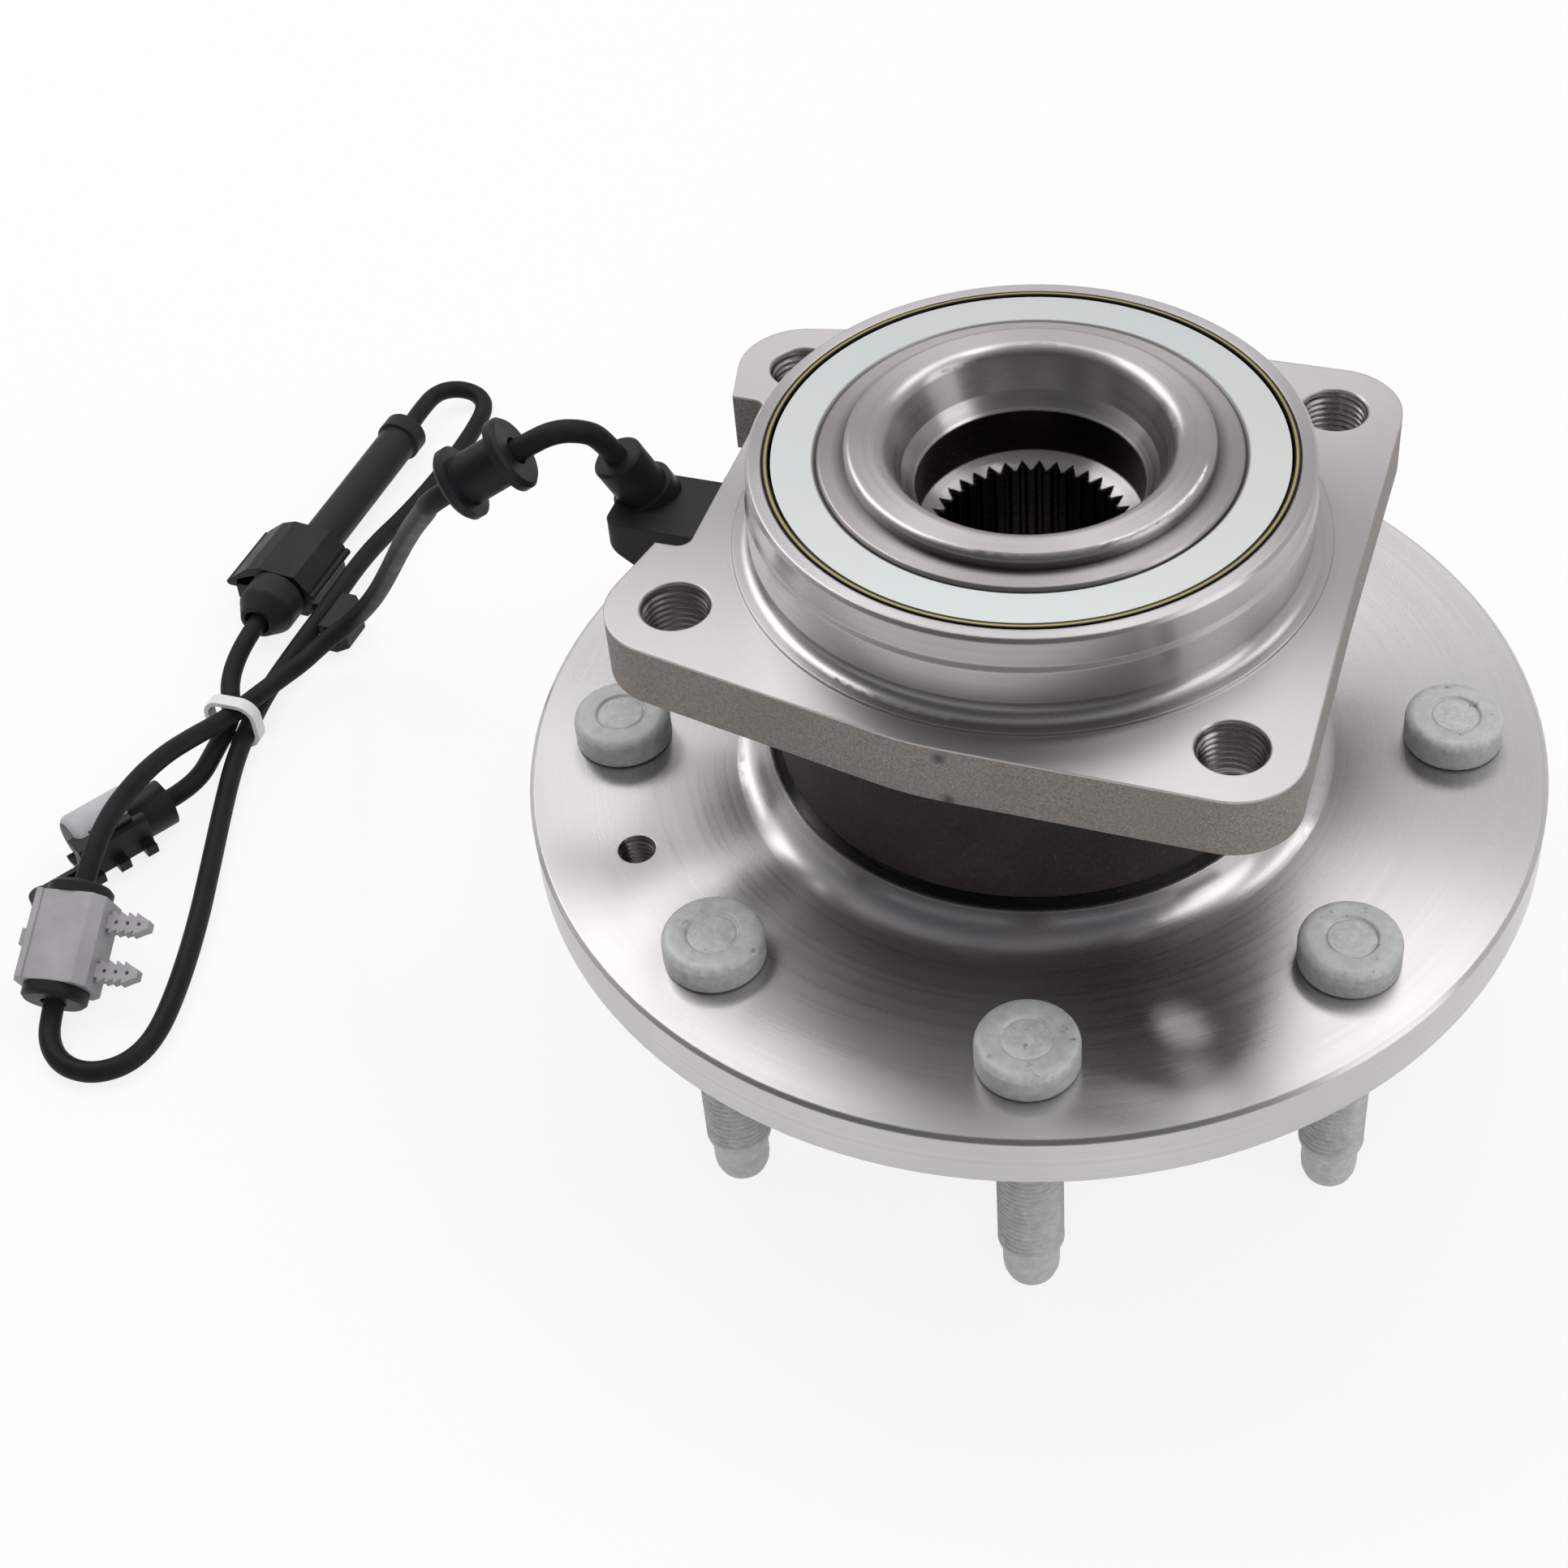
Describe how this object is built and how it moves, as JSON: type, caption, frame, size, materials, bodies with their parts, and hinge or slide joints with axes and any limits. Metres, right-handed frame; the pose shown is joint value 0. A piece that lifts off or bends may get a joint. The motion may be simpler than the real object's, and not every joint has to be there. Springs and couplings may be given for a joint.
{
  "type": "wheel_hub_bearing",
  "caption": "Flanged wheel hub unit: two tapered roller rows on a splined spindle, eight studs, four-hole knuckle flange, and a speed sensor on a long clipped lead ending in a plug.",
  "frame": {"origin": "on the spin axis, in the plane of the wheel studs' tips, which is the surface the unit stands on", "axes": "+Z along the spin axis from the wheel side to the vehicle (inboard), -X through the wheel-speed sensor, +Y completes a right-handed frame"},
  "size_m": [0.3539, 0.2769, 0.154],
  "materials": {
    "machined_steel": "turned forging, fine concentric grooves",
    "stud_steel": "phosphated or zinc-plated steel",
    "bearing_steel": "ground bearing steel",
    "cage_steel": "stamped steel",
    "zinc_plate": "bright zinc plate",
    "yellow_chromate": "yellow chromate on steel",
    "seal_rubber": "matte black rubber",
    "black_oxide_steel": "turned steel with dark heat-treated skin",
    "black_moulding": "glass-filled black nylon",
    "cable_jacket": "satin black cable jacket",
    "grey_nylon": "natural grey nylon",
    "white_nylon": "white nylon",
    "pale_grey_plastic": "light grey plastic"
  },
  "bodies": {
    "fixed": {"outer_ring": "black_oxide_steel", "inboard_seal_case": "yellow_chromate", "outboard_seal_case": "yellow_chromate", "inboard_seal_lip": "seal_rubber", "outboard_seal_lip": "seal_rubber", "sensor_body": "black_moulding", "sensor_boot": "seal_rubber", "sensor_o_ring": "seal_rubber", "sensor_bushing": "stud_steel", "sensor_screw": "stud_steel", "sensor_cable": "cable_jacket", "cable_grommet": "seal_rubber", "clip_grommet": "seal_rubber", "cable_clip": "grey_nylon", "rubber_sleeve": "seal_rubber", "bracket_cover": "black_moulding", "bracket_base": "black_moulding", "bracket_grommet": "seal_rubber", "cable_tie": "white_nylon", "connector_gland": "seal_rubber", "connector_body": "black_moulding", "connector_shell": "pale_grey_plastic", "connector_latch": "black_moulding"},
    "hub": {"hub_spindle": "machined_steel", "wheel_studs": "stud_steel", "inner_race_inboard": "bearing_steel", "inner_race_outboard": "bearing_steel", "inboard_slinger": "zinc_plate", "outboard_slinger": "zinc_plate", "tone_ring": "cage_steel"},
    "row_inboard": {"rollers_inboard": "bearing_steel", "cage_inboard": "cage_steel"},
    "row_outboard": {"rollers_outboard": "bearing_steel", "cage_outboard": "cage_steel"}
  },
  "joints": [
    {"name": "hub_spin", "type": "hinge", "parent": "fixed", "child": "hub", "pos_m": [0, 0, 0.1147], "axis": [0, 0, 1], "continuous": true},
    {"name": "row_inboard_spin", "type": "hinge", "parent": "fixed", "child": "row_inboard", "pos_m": [0, 0, 0.1147], "axis": [0, 0, 1], "continuous": true},
    {"name": "row_outboard_spin", "type": "hinge", "parent": "fixed", "child": "row_outboard", "pos_m": [0, 0, 0.1147], "axis": [0, 0, 1], "continuous": true}
  ],
  "couplings": [
    {"joint": "row_inboard_spin", "follows": "hub_spin", "ratio": 0.449},
    {"joint": "row_outboard_spin", "follows": "hub_spin", "ratio": 0.449}
  ]
}
